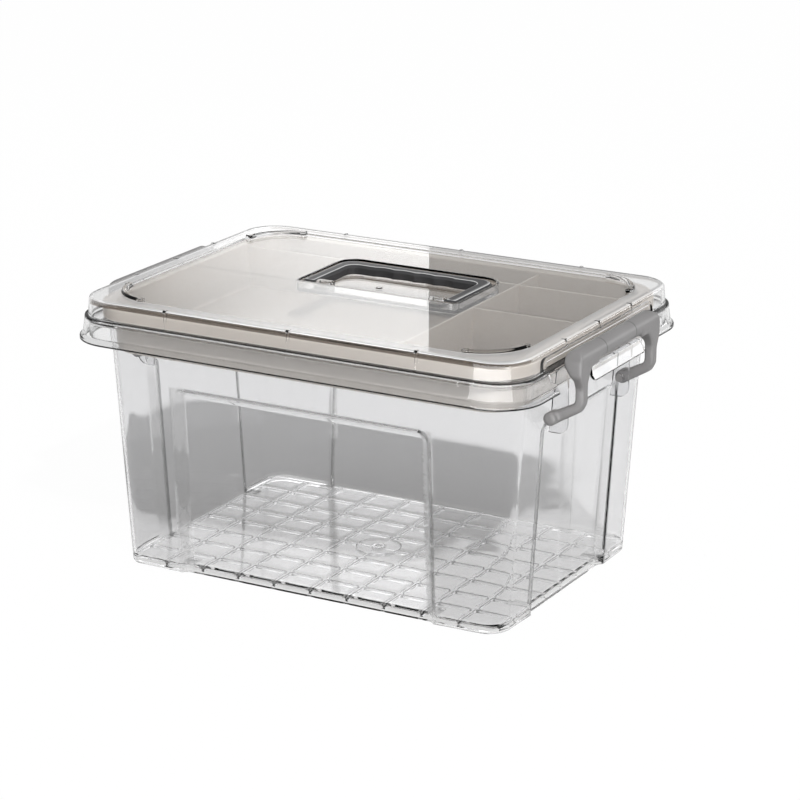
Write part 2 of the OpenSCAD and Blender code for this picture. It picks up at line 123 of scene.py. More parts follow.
# Optics and colours; over FLAT, which is how far up a face points, it turns from sloping to flat
CLEAR_IOR = 1.3
FLAT = (0.97, 0.995)
PANEL_SHARE = 0.5
BLACK = (0.004, 0.004, 0.004, 1.0)
WHITE = (1.0, 1.0, 1.0, 1.0)


def wall_r(z):
    """Outer corner radius of the tub at a height"""
    return FOOT_R + WALL_SLOPE * z


def length(name, description, value):
    return FloatProperty(name=name, description=description, default=value * MM, min=0.0, unit="LENGTH")


def amount(name, description, value, highest=1.0):
    return FloatProperty(name=name, description=description, default=value, min=0.0, max=highest)


def colour(name, description, value):
    return FloatVectorProperty(name=name, description=description, default=value, size=3,
                               min=0.0, max=1.0, subtype="COLOR")


class BoxSizes(PropertyGroup):
    """Sizes that can be changed without changing the model in the frame"""
    panel_round: length("Recess rounding", "Rounding of the edges of the recessed wall panels", 1.5)
    rib: length("Rib", "Thickness of a rib under the floor", 1.6)
    rib_round: length("Rib rounding", "Rounding where a rib meets the floor", 2.8)
    edge: length("Edge rounding", "Rounding of the free edges of the clear mouldings", 0.7)
    tick: length("Tick", "Width of the small moulded ticks on the lid's band", 2.4)
    divider_round: length("Divider rounding", "Rounding of the dividers of the tray", 0.6)
    handle_bevel: length("Handle bevel", "Bevel round the carry handle", 2.3)
    latch_voxel: length("Latch detail", "Smallest detail kept on the rounded latches", 0.8)
    latch_smooth: IntProperty(name="Latch smoothing", description="Rounds of smoothing on a latch",
                              default=24, min=0, max=60)


class BoxFinishes(PropertyGroup):
    """Colours of the plastics and the floor"""
    clear: colour("Clear plastic", "Tint of the tub", (0.87, 0.87, 0.875))
    lid: colour("Lid plastic", "Tint of the lid", (0.95, 0.95, 0.95))
    edge: colour("Clear edge", "Tint of clear plastic seen edge on", (0.25, 0.25, 0.25))
    tray: colour("Tray", "Colour of the inner tray", (0.37, 0.325, 0.28))
    handle: colour("Handle", "Colour of the carry handle", (0.06, 0.06, 0.062))
    latch: colour("Latch", "Colour of the latches", (0.225, 0.22, 0.22))
    floor: colour("Floor", "Colour of the studio floor", (0.8, 0.8, 0.8))


class BoxStudio(PropertyGroup):
    """Light on the box"""
    key: FloatProperty(name="Key lamp", description="Power of the key lamp", default=280.0, min=0.0,
                       unit="POWER")
    glare: amount("Glare", "Brightness of the tall softbox behind the box", 1.55, 10.0)
    corner: amount("Corner light", "Brightness of the panel that lights the front corner", 13.0, 50.0)
    grip: amount("Grip light", "Brightness of the panel that lights the end grip", 6.0, 50.0)
    room: amount("Room", "Strength of the light from all round", 0.38, 2.0)
    glow: amount("Floor glow", "Share of the floor's white that the camera sees unlit", 0.98)
    glow_through: amount("Floor glow through plastic", "The same share, seen through clear plastic", 0.14)


def settings_of(context):
    """The sizes and the finishes of the scene"""
    return context.scene.box_sizes, context.scene.box_finishes


# Mesh steps

def fresh():
    """Leave edit mode and deselect everything"""
    if bpy.context.object and bpy.context.object.mode != "OBJECT":
        bpy.ops.object.mode_set(mode="OBJECT")
    bpy.ops.object.select_all(action="DESELECT")


def only(obj):
    fresh()
    obj.select_set(True)
    bpy.context.view_layer.objects.active = obj


@contextmanager
def editing(obj):
    """Edit mode on one object, all of it selected"""
    only(obj)
    bpy.ops.object.mode_set(mode="EDIT")
    select_all()
    yield
    bpy.ops.object.mode_set(mode="OBJECT")


def select_all(action="SELECT"):
    bpy.ops.mesh.select_all(action=action)


@contextmanager
def picking(obj, kind):
    """The mesh in edit mode with nothing selected, for its vertices, edges or faces to be picked"""
    bpy.ops.mesh.select_mode(type=kind)
    select_all("DESELECT")
    mesh = bmesh.from_edit_mesh(obj.data)
    yield mesh
    mesh.select_flush_mode()
    bmesh.update_edit_mesh(obj.data)


def pick(obj, kind, test, every=False):
    """Select vertices, edges or faces whose middle, or every corner, passes a test in millimetres"""
    count = 0
    with picking(obj, kind) as mesh:
        for item in {"VERT": mesh.verts, "EDGE": mesh.edges, "FACE": mesh.faces}[kind]:
            places = [corner.co / MM for corner in ([item] if kind == "VERT" else item.verts)]
            middle = sum(places, Vector()) / len(places)
            if all(map(test, places)) if every else test(middle):
                item.select_set(True)
                count += 1
    if not count:
        raise RuntimeError(f"nothing to select on {obj.name}")


def pick_sharp(obj, angle, test=lambda middle: True):
    """Select the edges between two faces that meet at more than an angle, in degrees"""
    with picking(obj, "EDGE") as mesh:
        for edge in mesh.edges:
            middle = (edge.verts[0].co + edge.verts[1].co) / 2 / MM
            if len(edge.link_faces) == 2 and edge.calc_face_angle(0) > math.radians(angle) and test(middle):
                edge.select_set(True)


def bevel(size, steps, kind="EDGES"):
    """Bevel what is selected by a size in metres"""
    bpy.ops.mesh.bevel(offset=size, offset_type="OFFSET", segments=steps, affect=kind, profile=0.5)


def push(x, y, z):
    """Extrude what is selected by a distance in metres along each axis"""
    bpy.ops.mesh.extrude_region_move(TRANSFORM_OT_translate={"value": (x, y, z)})


def ease(obj, size, steps, test=lambda middle: True, angle=60):
    """Round the sharp edges that pass a test, by a size in metres"""
    with editing(obj):
        pick_sharp(obj, angle, test)
        bevel(size, steps)


def outward():
    select_all()
    bpy.ops.mesh.normals_make_consistent(inside=False)


def apply_modifier(obj, kind, **settings):
    only(obj)
    modifier = obj.modifiers.new(kind.title(), kind)
    for name, value in settings.items():
        setattr(modifier, name, value)
    bpy.ops.object.modifier_apply(modifier=modifier.name)


def ease_all(obj, size, steps=2):
    """Round every edge over 50 degrees with a modifier, by a size in millimetres"""
    apply_modifier(obj, "BEVEL", width=size * MM, segments=steps, limit_method="ANGLE",
                   angle_limit=math.radians(50))


def copy_of(obj, name):
    only(obj)
    bpy.ops.object.duplicate()
    twin = bpy.context.object
    twin.name = name
    return twin


def leaks(obj):
    """Number of edges that don't join exactly two faces"""
    mesh = bmesh.new()
    mesh.from_mesh(obj.data)
    count = sum(len(edge.link_faces) != 2 for edge in mesh.edges)
    mesh.free()
    return count


def combine(obj, other, how):
    """Union, difference or intersection with another solid, which is used up"""
    for part in (obj, other):
        if leaks(part):
            raise RuntimeError(f"{part.name} isn't closed: {leaks(part)} edges")
    apply_modifier(obj, "BOOLEAN", object=other, operation=how, solver="MANIFOLD")
    if not obj.data.polygons:
        raise RuntimeError(f"{obj.name} is lost in its {how.lower()} with {other.name}")
    bpy.data.objects.remove(other)


def cut(obj, *others):
    """Take other solids out of one, in turn"""
    for other in others:
        combine(obj, other, "DIFFERENCE")


def join(obj, *others):
    """Join other solids to one, in turn"""
    for other in others:
        combine(obj, other, "UNION")


def fillet(points, radii, steps=4):
    """Points of an outline with its corners rounded, a radius for each"""
    done = []
    for place, radius in enumerate(radii):
        point = Vector(points[place])
        if not radius:
            done.append(tuple(point))
            continue
        back = Vector(points[place - 1]) - point
        onward = Vector(points[(place + 1) % len(points)]) - point
        half = back.angle(onward) / 2
        trim = min(radius / math.tan(half), 0.49 * back.length, 0.49 * onward.length)
        back.normalize()
        onward.normalize()
        centre = point + (back + onward).normalized() * (trim / math.cos(half))
        start = point + back * trim - centre
        end = point + onward * trim - centre
        first = math.atan2(start.y, start.x)
        turn = (math.atan2(end.y, end.x) - first + math.pi) % (2 * math.pi) - math.pi
        for step in range(steps + 1):
            angle = first + turn * step / steps
            done.append((centre.x + start.length * math.cos(angle),
                         centre.y + start.length * math.sin(angle)))
    return done


def ring(name, places, closed=True):
    """A circle primitive laid through the given places, in millimetres"""
    fresh()
    bpy.ops.mesh.primitive_circle_add(vertices=max(3, len(places)), radius=MM, fill_type="NOTHING")
    obj = bpy.context.object
    obj.name = name
    spare = 3 - len(places)
    for vertex, place in zip(obj.data.vertices, list(places) + [places[-1]] * spare):
        vertex.co = Vector(place) * MM
    if closed:
        return obj
    last = len(places) - 1
    with editing(obj):
        with picking(obj, "EDGE") as mesh:
            for edge in mesh.edges:
                if {vertex.index for vertex in edge.verts} == {0, last}:
                    edge.select_set(True)
        if last > 1:
            bpy.ops.mesh.delete(type="EDGE")
        bpy.ops.mesh.select_mode(type="VERT")
        select_all()
        bpy.ops.mesh.remove_doubles(threshold=1e-7)
    return obj


def swept(name, core, line, closed=True, cap=True):
    """A wall section, given as reach and height, carried round a rounded rectangle"""
    obj = ring(name, [(core[0] + reach, core[1], height) for reach, height in line], closed)
    with editing(obj):
        bpy.ops.mesh.spin(steps=CORNER_STEPS, angle=-math.pi / 2, axis=(0, 0, 1),
                          center=(core[0] * MM, core[1] * MM, 0))
        push(-core[0] * MM, 0, 0)
        pick(obj, "VERT", lambda p: abs(p.y - core[1]) < 1e-3 and p.x > core[0] + 1e-3)
        bpy.ops.mesh.select_mode(type="EDGE")
        push(0, -core[1] * MM, 0)
    if not cap:
        return obj
    mirrored(obj, "XY", clip=True)
    with editing(obj):
        if not closed:
            bpy.ops.mesh.select_mode(type="EDGE")
            bpy.ops.mesh.fill_holes(sides=0)
        outward()
    return obj


def mirrored(obj, axes, clip=False):
    """Mirror an object in planes through the origin, and join it there if it is clipped"""
    apply_modifier(obj, "MIRROR", use_axis=["X" in axes, "Y" in axes, "Z" in axes], use_clip=clip,
                   merge_threshold=1e-6, use_mirror_merge=clip)
    with editing(obj):
        outward()
    return obj


def prism(name, outline, plane, low, high):
    """An outline in a plane, pushed through from one place to another, all in millimetres"""
    def place(first, second, depth):
        return {"XY": (first, second, depth), "XZ": (first, depth, second),
                "YZ": (depth, first, second)}[plane]
    obj = ring(name, [place(first, second, low) for first, second in outline])
    with editing(obj):
        bpy.ops.mesh.edge_face_add()
        push(*(Vector(place(0, 0, high - low)) * MM))
        outward()
    return obj


def added(name):
    """The primitive that was just added, named, with its size and place kept in its mesh"""
    obj = bpy.context.object
    obj.name = name
    bpy.ops.object.transform_apply(location=True, rotation=True, scale=True)
    return obj


def cuboid(name, low, high):
    """A cube primitive at its size and place, in millimetres"""
    fresh()
    middle = (Vector(low) + Vector(high)) / 2 * MM
    size = (Vector(high) - Vector(low)) * MM
    bpy.ops.mesh.primitive_cube_add(size=1, location=middle, scale=size)
    return added(name)


def rod(name, centre, radius, extent, axis, sides=48):
    """A cylinder primitive along an axis, in millimetres"""
    fresh()
    turn = {"X": (0, math.pi / 2, 0), "Y": (math.pi / 2, 0, 0), "Z": (0, 0, 0)}[axis]
    bpy.ops.mesh.primitive_cylinder_add(vertices=sides, radius=radius * MM, depth=extent * MM,
                                        location=Vector(centre) * MM, rotation=turn)
    return added(name)


def smooth_shading(obj, angle):
    """Smooth shading in which flat faces stay flat"""
    only(obj)
    bpy.ops.object.shade_smooth_by_angle(angle=math.radians(angle))
    apply_modifier(obj, "WEIGHTED_NORMAL", mode="FACE_AREA", weight=50, keep_sharp=True)


def settle(obj, name, body, slot, finish, *nodes, angle=35):
    """Shade and name a finished piece, let it ride on its body and give it its finish"""
    smooth_shading(obj, angle)
    obj.name = name
    obj.data.name = name
    obj.data.materials.clear()
    obj.data.materials.append(finish)
    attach(obj, body)
    if nodes:
        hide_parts(*nodes)


# Nodes

class Wire:
    """A node socket that sums can be written with"""

    def __init__(self, tree, socket):
        self.tree = tree
        self.socket = socket

    def sum(self, operation, first, second=0.0, clamp=False):
        return self.tree.add("ShaderNodeMath", {0: first, 1: second}, operation=operation,
                             use_clamp=clamp)

    def __add__(self, other):
        return self.sum("ADD", self, other)

    __radd__ = __add__

    def __sub__(self, other):
        return self.sum("SUBTRACT", self, other)

    def __rsub__(self, other):
        return self.sum("SUBTRACT", other, self)

    def __mul__(self, other):
        return self.sum("MULTIPLY", self, other)

    def size(self):
        return self.sum("ABSOLUTE", self)

    def clipped(self):
        return self.sum("ADD", self, 0.0, clamp=True)


class Tree:
    """The nodes of a material or of the world"""

    def __init__(self, owner):
        owner.use_nodes = True
        self.nodes = owner.node_tree.nodes
        self.links = owner.node_tree.links
        self.nodes.clear()

    def add(self, kind, sockets=None, out=0, **settings):
        """Add a node of a type with its settings, then the values or links of its sockets"""
        node = self.nodes.new(kind)
        for name, value in settings.items():
            setattr(node, name, value)
        for name, value in (sockets or {}).items():
            if isinstance(value, Wire):
                self.links.new(value.socket, node.inputs[name])
            else:
                node.inputs[name].default_value = value
        return Wire(self, node.outputs[out]) if node.outputs else None

    def at(self, which):
        """One coordinate of the place on the object, in metres"""
        return self.axis(self.place(), which)

    def normal(self, which):
        """One coordinate of the direction that the face points in"""
        return self.axis(self.add("ShaderNodeNewGeometry", out="Normal"), which)

    def ray(self, kind):
        return self.add("ShaderNodeLightPath", out=kind)

    def smooth(self, value, low, high, first=0.0, last=1.0):
        """A smooth step from one number to another between two values"""
        sockets = {"Value": value, "From Min": low, "From Max": high, "To Min": first, "To Max": last}
        return self.add("ShaderNodeMapRange", sockets, interpolation_type="SMOOTHSTEP")

    def rise(self, value, low, high, first=0.0, last=1.0):
        """A smooth step as above, between two values in millimetres"""
        return self.smooth(value, low * MM, high * MM, first, last)

    def band(self, value, low, high, soft=0.15):
        """1 between two values in millimetres and 0 outside them"""
        start = self.rise(value, low - soft, low + soft)
        return start * self.rise(value, high - soft, high + soft, 1.0, 0.0)

    def reach(self, core):
        """Distance in plan from a rectangle given by its half sizes in millimetres"""
        total = 0.0
        for axis, half in enumerate(core):
            out = self.at(axis).size() - half * MM
            out = out.sum("MAXIMUM", out, 0.0)
            total = out * out + total
        return total.sum("SQRT", total)

    def mix(self, factor, first, second):
        """Two colours mixed by the share of the second"""
        return self.add("ShaderNodeMix", {0: factor, 6: first, 7: second}, out=2, data_type="RGBA")

    def blend(self, share, first, second):
        """Two shaders mixed by the share of the second"""
        return self.add("ShaderNodeMixShader", {0: share, 1: first, 2: second})

    def place(self):
        return self.add("ShaderNodeTexCoord", out="Object")

    def axis(self, vector, which):
        return self.add("ShaderNodeSeparateXYZ", {0: vector}, out=which)

    def noise(self, scale, detail=2.0):
        sockets = {"Vector": self.place(), "Scale": scale, "Detail": detail}
        return self.add("ShaderNodeTexNoise", sockets, out="Fac")

    def bump(self, height, strength, distance):
        return self.add("ShaderNodeBump", {"Height": height, "Strength": strength, "Distance": distance})


def rgba(values):
    return (*values, 1.0)


def new_material(name):
    material = bpy.data.materials.new(name)
    return material, Tree(material)


def clear_plastic(name, tint, edge, facing_range, shadow, tone, core=None, whitening=None, straight=None):
    """Clear plastic with a tone from a function, darker where upright faces are seen edge on

    A core keeps the dark edges to the corners past it. Whitening and straight give the shares that
    scatter as white and that go straight through.
    """
    material, tree = new_material(name)
    facing = tree.add("ShaderNodeLayerWeight", {"Blend": 0.5}, out="Facing")
    upright = 1.0 - tree.smooth(tree.normal(2).size(), 0.93, 0.99)
    edges = tree.smooth(facing, *facing_range) * upright
    if core:
        for axis in (0, 1):
            edges = edges * tree.rise(tree.at(axis).size(), core[axis] - 2, core[axis])
    colour = tone(tree, tree.mix(edges, rgba(tint), rgba(edge)))
    body = tree.add("ShaderNodeBsdfPrincipled", {
        "Base Color": colour, "Roughness": 0.0, "IOR": CLEAR_IOR, "Transmission Weight": 1.0})
    if whitening:
        white = tree.add("ShaderNodeBsdfDiffuse", {"Color": (0.9, 0.9, 0.9, 1.0)})
        body = tree.blend(whitening(tree), body, white)
    clear = tree.add("ShaderNodeBsdfTransparent", {"Color": (shadow, shadow, shadow, 1.0)})
    through = tree.ray("Is Shadow Ray") + tree.ray("Is Diffuse Ray")
    if straight:
        through = through + straight(tree)
    mixed = tree.blend(through.clipped(), body, clear)
    tree.add("ShaderNodeOutputMaterial", {"Surface": mixed})
    return material


def moulded_plastic(name, tint, roughness, grain_scale, grain, shade, tone, gloss=0.5, unmirrored=False):
    """Opaque plastic with a fine grain, a tone from a function, and no mirror image if so told"""
    material, tree = new_material(name)
    dark = tuple(value * (1 - shade) for value in tint)
    clouds = tree.smooth(tree.noise(18.0), 0.35, 0.65)
    grit = tree.noise(grain_scale, 3.0)
    body = tree.add("ShaderNodeBsdfPrincipled", {
        "Base Color": tone(tree, tree.mix(clouds, rgba(tint), rgba(dark))),
        "Specular IOR Level": gloss,
        "Roughness": tree.smooth(grit, 0.3, 0.7, roughness - 0.05, roughness + 0.05),
        "Normal": tree.bump(grit, grain, 0.0003)})
    if unmirrored:
        clear = tree.add("ShaderNodeBsdfTransparent", {"Color": WHITE})
        body = tree.blend(tree.ray("Is Glossy Ray"), body, clear)
    tree.add("ShaderNodeOutputMaterial", {"Surface": body})
    return material


# The tub

def tub_skin(sizes):
    """The outside of the tub as one skin, with its recessed panels"""
    line = [(wall_r(-SKIN_SPARE), -SKIN_SPARE), (wall_r(RIM_Z), RIM_Z)]
    skin = swept("tub_skin", TUB_CORE, line, closed=False, cap=False)
    mirrored(skin, "XY", clip=True)
    top = Vector((0, 0, PANEL_TOP)) * MM
    for along, half in enumerate((FRONT_PANEL_X, END_PANEL_Y)):
        across = 1 - along
        far = TUB_CORE[across] + 1
        direction = Vector((1 - along, along, 0))

        def on_wall(p):
            return abs(p[across]) > far and abs(p[along]) < TUB_CORE[along] + 0.1

        def in_panel(p):
            return on_wall(p) and abs(p[along]) < half + 0.01

        with editing(skin):
            pick(skin, "EDGE", lambda p: on_wall(p) and abs(p[along]) < 0.01 and 0 < p.z < RIM_Z - 1)
            bpy.ops.mesh.dissolve_edges(use_verts=False)
            for side in (-1, 1):
                pick(skin, "FACE", on_wall, every=True)
                bpy.ops.mesh.bisect(plane_co=side * half * direction * MM, plane_no=direction)
            pick(skin, "FACE", in_panel, every=True)
            bpy.ops.mesh.bisect(plane_co=top, plane_no=(0, 0, 1))
            pick(skin, "EDGE", lambda p: on_wall(p) and PANEL_TOP + 1 < p.z < RIM_Z - 1
                 and abs(abs(p[along]) - half) < 0.01)
            bpy.ops.mesh.dissolve_edges(use_verts=False)
            pick(skin, "VERT", lambda p: on_wall(p) and abs(p.z - PANEL_TOP) < 0.01
                 and abs(abs(p[along]) - half) < 0.01)
            bevel(PANEL_R * MM, 6, "VERTICES")
            pick(skin, "FACE", lambda p: in_panel(p) and p.z < PANEL_TOP + 0.01, every=True)
            bpy.ops.mesh.inset(thickness=PANEL_BEVEL * MM, depth=-PANEL_DEPTH * MM, use_boundary=False,
                               use_individual=True)
    ease(skin, sizes.panel_round, 4, angle=20)
    return skin


def tub_floor(skin, sizes):
    """The floor with its rib grid, and the gate mark in its middle"""
    rib_low, middle_z, embed = 1.0, 3.5, WALL_T / 2
    boss_r, groove_r, gate_r = 18.5, 6.0, 3.4
    slab = copy_of(skin, "tub_floor")
    with editing(slab):
        for height, under in ((rib_low + embed, True), (FLOOR_TOP - embed, False)):
            select_all()
            bpy.ops.mesh.bisect(plane_co=(0, 0, height * MM), plane_no=(0, 0, 1), clear_inner=under,
                                clear_outer=not under, use_fill=True)
        outward()
        bpy.ops.transform.shrink_fatten(value=-embed * MM, use_even_offset=True)
        for test, target in ((lambda p: p.z > middle_z, FLOOR_TOP), (lambda p: p.z < middle_z, rib_low)):
            pick(slab, "VERT", test)
            mesh = bmesh.from_edit_mesh(slab.data)
            for vertex in mesh.verts:
                if vertex.select:
                    vertex.co.z = target * MM
            bmesh.update_edit_mesh(slab.data)
        for direction in ((1, 0, 0), (0, 1, 0)):
            select_all()
            bpy.ops.mesh.bisect(plane_co=(0, 0, 0), plane_no=direction)
    rib = sizes.rib / MM / 2
    cell = cuboid("cells", (rib, rib, -2), (FLOOR_PITCH[0] - rib, FLOOR_PITCH[1] - rib, FOOT_H))
    with editing(cell):
        pick(cell, "EDGE", lambda p: 0 < p.z < FOOT_H - 1)
        bevel(3.2 * MM, 4)
        pick_sharp(cell, 60, lambda p: p.z > FOOT_H - 0.1)
        bevel(sizes.rib_round, 5)
        select_all()
        shift = [-count / 2 * pitch * MM for count, pitch in zip(FLOOR_CELLS, FLOOR_PITCH)]
        bpy.ops.transform.translate(value=(*shift, 0))
    for axis, count in enumerate(FLOOR_CELLS):
        step = [0, 0, 0]
        step[axis] = FLOOR_PITCH[axis] * MM
        apply_modifier(cell, "ARRAY", count=count, use_relative_offset=False, use_constant_offset=True,
                       constant_offset_displace=step)
    cut(slab, cell)
    boss = rod("boss", (0, 0, 3.6), boss_r, 4.4, "Z", 64)
    ease(boss, 1.4 * MM, 3, lambda p: p.z < 3)
    join(slab, boss)
    groove = rod("groove", (0, 0, 2.5), groove_r, 5.0, "Z")
    ease(groove, 0.8 * MM, 3, lambda p: p.z > 4)
    cut(groove, rod("gate", (0, 0, 2.6), gate_r, 6.0, "Z"))
    cut(slab, groove)
    return slab


def inside_block(name, low, high):
    """A solid as wide as the middle of the tub's wall, between two heights"""
    return swept(name, TUB_CORE, [(wall_r(z) - WALL_T / 2, z) for z in (low, high)], closed=False)


def tub_flange():
    """The flange round the tub and the lip that hangs from it"""
    inner = FLANGE_R - FLANGE_T
    line = fillet(
        [(9.0, FLANGE_Z), (FLANGE_R, FLANGE_Z), (FLANGE_R, FLANGE_LIP_Z), (inner, FLANGE_LIP_Z),
         (inner, FLANGE_Z - FLANGE_T), (9.0, FLANGE_Z - FLANGE_T)],
        [0, 1.6, 0.8, 0.8, 1.2, 0])
    flange = swept("flange", LID_CORE, line)
    cut(flange, inside_block("hole", 180, 208))
    return flange


def end_grips():
    """The C-shaped grip below each latch"""
    (top_y, top_z), (low_y, low_z) = GRIP_TOP, GRIP_FOOT
    root, top_x, low_x = FLANGE_X - FLANGE_T / 2, 206.18, 211.18
    side = fillet([(root, top_z), (top_x, top_z), (low_x, low_z), (low_x - GRIP_T, low_z),
                   (top_x - GRIP_T, top_z - GRIP_T), (root, top_z - GRIP_T)], [0, 2.6, 0.9, 0.9, 1.0, 0])
    grip = prism("grips", side, "XZ", -low_y - 0.5, low_y + 0.5)
    front = fillet([(-top_y, top_z + 1), (top_y, top_z + 1), (low_y, low_z), (-low_y, low_z)],
                   [0, 0, 4.0, 4.0])
    combine(grip, prism("trim", front, "YZ", root - 1, low_x + 1), "INTERSECT")
    ease_all(grip, 0.45)
    return mirrored(grip, "X")


def latch_lugs():
    """Two plates on each end that carry the latch pins"""
    low, high = PIN_Z - 15.0, FLANGE_Z - 1
    side = fillet([(TUB_CORE[0] + 20, low), (FLANGE_X, low), (FLANGE_X, high), (TUB_CORE[0] + 29, high)],
                  [0, FLANGE_X - PIN_X, 0, 0], steps=8)
    lug = prism("lugs", side, "XZ", 52.4, 55.0)
    cut(lug, inside_block("keep", 100, 210))
    ease_all(lug, 0.4)
    return mirrored(lug, "XY")


def tub_tone(tree, base):
    """Clearer in the floor and in the rim than in the walls, painted light that brightens what is seen
    through them
    """
    clearer = tree.rise(tree.at(2), 8, 10, 1.0, 0.0) + tree.rise(tree.at(2), 180, 184)
    return tree.mix(clearer * 0.5, base, WHITE)


def panel_edges(tree):
    """Share of the light that goes straight through the sloping edges of the recessed panels"""
    edges = 0.0
    for along, half in enumerate((FRONT_PANEL_X, END_PANEL_Y)):
        beyond = tree.at(1 - along).size() - TUB_CORE[1 - along] * MM
        slope = tree.band(tree.at(along).size(), half - PANEL_BEVEL - 3, half + 3)
        edges = edges + slope * tree.smooth(beyond, 0.0, MM)
    return edges * tree.rise(tree.at(2), PANEL_TOP + 1, PANEL_TOP + 3, 1.0, 0.0) * PANEL_SHARE


class BOX_OT_tub(Operator):
    """Model the clear tub with its panels, ribbed floor, flange, grips and lugs"""
    bl_idname = "medicine_box.tub"
    bl_label = "Tub"

    def execute(self, context):
        sizes, finishes = settings_of(context)
        skin = tub_skin(sizes)
        floor = tub_floor(skin, sizes)
        apply_modifier(skin, "SOLIDIFY", thickness=WALL_T * MM, offset=-1.0, use_even_offset=True)
        ease(skin, sizes.edge, 3, lambda p: p.z > RIM_Z - 1)
        room = (FLANGE_X + 20, FLANGE_Y + 20)
        standing = cuboid("standing", (-room[0], -room[1], 0), (room[0], room[1], RIM_Z + 10))
        with editing(standing):
            bpy.ops.mesh.subdivide(number_cuts=3)
        combine(skin, standing, "INTERSECT")
        join(skin, floor, tub_flange(), end_grips(), latch_lugs())
        for side in (-1, 1):
            cut(skin, rod("bore", (side * PIN_X, 0, PIN_Z), LATCH_PIN_R + PIN_PLAY, 120, "Y"))
        finish = clear_plastic("clear_plastic", finishes.clear, finishes.edge, (0.72, 0.94), 0.9, tub_tone,
                               TUB_CORE, straight=panel_edges)
        settle(skin, "tub_moulding", "tub", "clear_plastic", finish, "tub")
        return {"FINISHED"}


# The lid

def lid_solids():
    """The outside of the lid and the space under it, as two solids"""
    outer = fillet(
        [(LIP_R - 1.4, SKIRT_Z), (LIP_R, SKIRT_Z), (LIP_R, SKIRT_Z + 2.8), (33.9, SKIRT_Z + 5.6),
         (32.2, SHOULDER_Z), (29.6, SHOULDER_Z), (28.3, LID_RIM_Z), (23.0, LID_RIM_Z)],
        [0, 1.2, 1.6, 3.0, 1.0, 0.8, 3.8, 0], steps=5)
    inner = fillet(
        [(34.4, SKIRT_Z - 2), (34.4, SKIRT_Z + 1.9), (31.6, SKIRT_Z + 4.5), (29.9, SHOULDER_Z - LID_T),
         (27.3, SHOULDER_Z - LID_T), (26.0, LID_RIM_Z - LID_T), (22.0, LID_RIM_Z - LID_T)],
        [0, 1.6, 2.4, 1.2, 1.8, 2.4, 0], steps=5)
    return swept("lid", LID_CORE, outer, closed=False), swept("space", LID_CORE, inner, closed=False)


def plate_block(name, grow, line):
    """A solid over the sunk plate, its side a line of reach past the edge and height"""
    line = [(PLATE_R + grow + reach, height) for reach, height in line]
    return swept(name, PLATE_CORE, line, closed=False)


def pan_block(name, grow, low, high, flare):
    """The pan for the handle, wider at its top by a flare"""
    wide, deep, top = 2 * PAN_X, PAN_BACK - PAN_FRONT, high - flare
    back_r, front_r = 15.5 + grow, 4.0 + grow
    block = cuboid(name, (-PAN_X - grow, PAN_FRONT - grow, low), (PAN_X + grow, PAN_BACK + grow, top))
    with editing(block):
        pick(block, "EDGE", lambda p: p.y > PAN_BACK and low + 1 < p.z < top - 1)
        bevel(back_r * MM, 8)
        pick(block, "EDGE", lambda p: p.y < PAN_FRONT + 1 and low + 1 < p.z < top - 1
             and abs(p.x) > PAN_X - 1)
        bevel(front_r * MM, 5)
        pick_sharp(block, 60, lambda p: p.z < low + 0.1)
        bevel(1.4 * MM, 4)
        if flare:
            pick(block, "FACE", lambda p: p.z > top - 0.1)
            middle = Vector((0, (PAN_FRONT + PAN_BACK) / 2, high)) * MM
            for share, rise in ((0.3, 0.7), (0.7, 0.3)):
                push(0, 0, flare * rise * MM)
                bpy.ops.transform.resize(
                    value=(1 + 2 * flare * share / wide, 1 + 2 * flare * share / deep, 1),
                    center_override=middle)
            push(0, 0, 6 * MM)
        outward()
    return block


def pocket_block(name, grow, x, depth):
    """The pocket behind a latch bar"""
    half, low, high, corner_r = 93.0 + grow, SHOULDER_Z - grow, SHOULDER_Z + 6.3 + grow, 5.0 + grow
    outline = fillet([(-half, low), (half, low), (half, high), (-half, high)], [0, 0, corner_r, corner_r],
                     steps=8)
    return prism(name, outline, "YZ", x, x + depth)


def skirt_opening():
    """The opening in the skirt for a latch, with the shoulder trimmed beside the bar"""
    half, flare, top = 84.0, 9.0, SHOULDER_Z - LID_T
    low = SKIRT_Z - 3
    arc = []
    for step in range(9):
        angle = math.radians(-90 + 90 * step / 8)
        arc.append((half + flare * math.cos(angle), top + flare * math.sin(angle)))
    outline = [(half, low)] + arc
    outline += [(-y, z) for y, z in reversed(outline)]
    opening = prism("opening", outline, "YZ", LID_CORE[0], LID_CORE[0] + 45)
    trim_x = LID_CORE[0] + 31.8
    join(opening, cuboid("trim", (trim_x, -half, low + 1), (trim_x + 12, half, SHOULDER_Z + 1)))
    return opening


def stacking_ridges():
    """A ridge on each corner of the plate, with a round post at each end"""
    first = math.asin(6.0 / PLATE_R)
    low, high = PLATE_Z - 1, PLATE_Z + 3.0
    reach, half = PLATE_R - 0.8, 2.6

    def round_corner(out, angle, height):
        return (PLATE_CORE[0] + out * math.cos(angle), PLATE_CORE[1] + out * math.sin(angle), height)

    line = fillet([(reach - half, low), (reach + half, low), (reach + half, high), (reach - half, high)],
                  [0, 0, half * 0.95, half * 0.95], steps=5)
    ridge = ring("ridges", [round_corner(out, first, height) for out, height in line])
    with editing(ridge):
        bpy.ops.mesh.edge_face_add()
        bpy.ops.mesh.spin(steps=14, angle=-(math.pi / 2 - 2 * first), axis=(0, 0, 1),
                          center=(PLATE_CORE[0] * MM, PLATE_CORE[1] * MM, 0))
        outward()
    for angle in (first, math.pi / 2 - first):
        centre = round_corner(reach, angle, (low + high) / 2)
        post = rod("post", centre, half + 0.7, high - low, "Z", 32)
        ease(post, 1.0 * MM, 3, lambda p: p.z > PLATE_Z)
        join(ridge, post)
    return mirrored(ridge, "XY")


